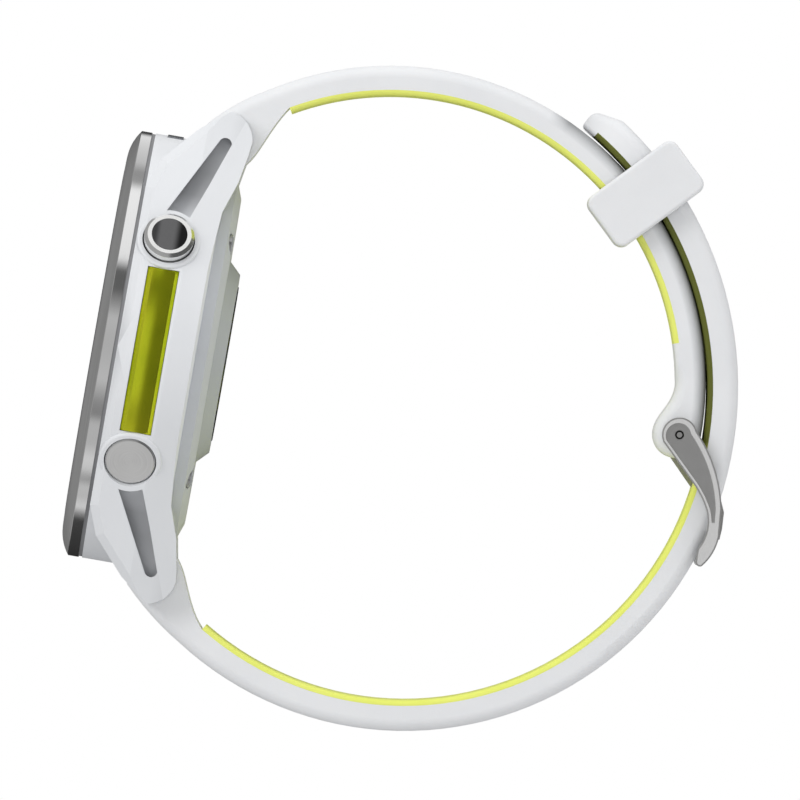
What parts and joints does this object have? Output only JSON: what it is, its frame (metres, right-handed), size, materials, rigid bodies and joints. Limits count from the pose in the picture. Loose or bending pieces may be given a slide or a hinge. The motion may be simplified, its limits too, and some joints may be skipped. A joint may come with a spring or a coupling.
{
  "type": "sports watch",
  "caption": "Round sports wristwatch with side buttons, a metal bezel, an optical rear sensor and a buckled two-colour silicone band.",
  "frame": {"origin": "centre of the rear sensor window's outer face, where it lies on the wrist", "axes": "+X to 3 o'clock (start and back buttons), +Y to 12 o'clock, +Z out of the display"},
  "size_m": [0.0494, 0.0721, 0.071],
  "materials": {
    "case_polymer": "satin moulded polymer",
    "bezel_metal": "polished side, circular brushed bevel",
    "gasket": "matt",
    "lens_glass": "polished, black mask",
    "panel": "dark display",
    "accent_metal": "glossy metallic yellow-green",
    "torch_glass": "smoked",
    "cover_polymer": "fine matt texture",
    "sensor_housing": "satin",
    "sensor_glass": "dark polished",
    "circuit": "solder mask",
    "chips": "moulded",
    "contact_gold": "plated",
    "steel": "brushed",
    "steel_polished": "polished",
    "button_black": "polished",
    "seal_rubber": "matt",
    "battery_foil": "foil",
    "silicone_white": "soft satin silicone",
    "silicone_yellow": "soft satin silicone",
    "tungsten": "sintered",
    "inner_polymer": "moulded"
  },
  "bodies": {
    "case": {"accent_strip": "accent_metal", "antenna_ring": "contact_gold", "back_button_seal": "seal_rubber", "battery": "battery_foil", "bezel": "bezel_metal", "bezel_gasket": "gasket", "board_chips": "chips", "button_switches": "chips", "case_body": "case_polymer", "charge_pins": "contact_gold", "charge_socket": "inner_polymer", "chassis": "inner_polymer", "display_panel": "panel", "down_button_seal": "seal_rubber", "lens": "lens_glass", "light_button_seal": "seal_rubber", "main_board": "circuit", "microphone": "steel", "rear_cover": "cover_polymer", "rear_gasket": "seal_rubber", "rear_screws": "steel", "sensor_board": "circuit", "sensor_detectors": "chips", "sensor_housing": "sensor_housing", "sensor_lamp": "chips", "sensor_window": "sensor_glass", "speaker": "inner_polymer", "start_button_seal": "seal_rubber", "torch_led": "chips", "torch_window": "torch_glass", "up_button_seal": "seal_rubber", "vibration_motor": "steel"},
    "motor_rotor": {"motor_weight": "tungsten"},
    "band": {"lower_bar_fixed_tip": "steel", "lower_bar_tube": "steel", "lower_strap": "silicone_white", "lower_strap_liner": "silicone_yellow", "upper_bar_fixed_tip": "steel", "upper_bar_tube": "steel", "upper_strap": "silicone_white", "upper_strap_liner": "silicone_yellow"},
    "upper_release": {"upper_bar_release": "steel"},
    "lower_release": {"lower_bar_release": "steel"},
    "buckle": {"buckle_frame": "steel", "buckle_pin": "steel"},
    "tongue": {"buckle_tongue": "steel"},
    "keeper": {"keeper": "silicone_white"},
    "start_button": {"start_button": "steel_polished", "start_button_clip": "steel", "start_button_inlay": "button_black"},
    "back_button": {"back_button": "steel", "back_button_clip": "steel"},
    "light_button": {"light_button": "steel", "light_button_clip": "steel"},
    "up_button": {"up_button": "steel", "up_button_clip": "steel"},
    "down_button": {"down_button": "steel", "down_button_clip": "steel"}
  },
  "joints": [
    {"name": "start_press", "type": "slide", "parent": "case", "child": "start_button", "axis": [-0.866, -0.5, 0], "range_m": [0, 0.0005], "stiffness_N_per_m": 2000, "springref_m": -0.0005},
    {"name": "back_press", "type": "slide", "parent": "case", "child": "back_button", "axis": [-0.866, 0.5, 0], "range_m": [0, 0.0005], "stiffness_N_per_m": 2000, "springref_m": -0.0005},
    {"name": "light_press", "type": "slide", "parent": "case", "child": "light_button", "axis": [0.866, -0.5, 0], "range_m": [0, 0.0005], "stiffness_N_per_m": 2000, "springref_m": -0.0005},
    {"name": "up_press", "type": "slide", "parent": "case", "child": "up_button", "axis": [1, 0, 0], "range_m": [0, 0.0005], "stiffness_N_per_m": 2000, "springref_m": -0.0005},
    {"name": "down_press", "type": "slide", "parent": "case", "child": "down_button", "axis": [0.866, 0.5, 0], "range_m": [0, 0.0005], "stiffness_N_per_m": 2000, "springref_m": -0.0005},
    {"name": "motor_spin", "type": "hinge", "parent": "case", "child": "motor_rotor", "pos_m": [-0.0065, -0.0095, 0.0064], "axis": [0, 0, 1], "continuous": true},
    {"name": "band_swing", "type": "hinge", "parent": "case", "child": "band", "pos_m": [0, 0.0242, 0.0043], "axis": [1, 0, 0], "range_deg": [0, 60]},
    {"name": "upper_bar_draw", "type": "slide", "parent": "band", "child": "upper_release", "axis": [-1, 0, 0], "range_m": [0, 0.00135], "stiffness_N_per_m": 300, "springref_m": -0.002},
    {"name": "lower_bar_reach", "type": "slide", "parent": "band", "child": "lower_release", "axis": [1, 0, 0], "range_m": [0, 0.00135]},
    {"name": "buckle_tilt", "type": "hinge", "parent": "band", "child": "buckle", "pos_m": [0, 0.0009, -0.05005], "axis": [1, 0, 0], "range_deg": [0, 3]},
    {"name": "tongue_lift", "type": "hinge", "parent": "buckle", "child": "tongue", "pos_m": [0, 0.0009, -0.05005], "axis": [1, 0, 0], "range_deg": [0, 2]},
    {"name": "keeper_slide", "type": "hinge", "parent": "band", "child": "keeper", "pos_m": [0, 0.0012, -0.018], "axis": [1, 0, 0], "range_deg": [-21, 10]}
  ]
}
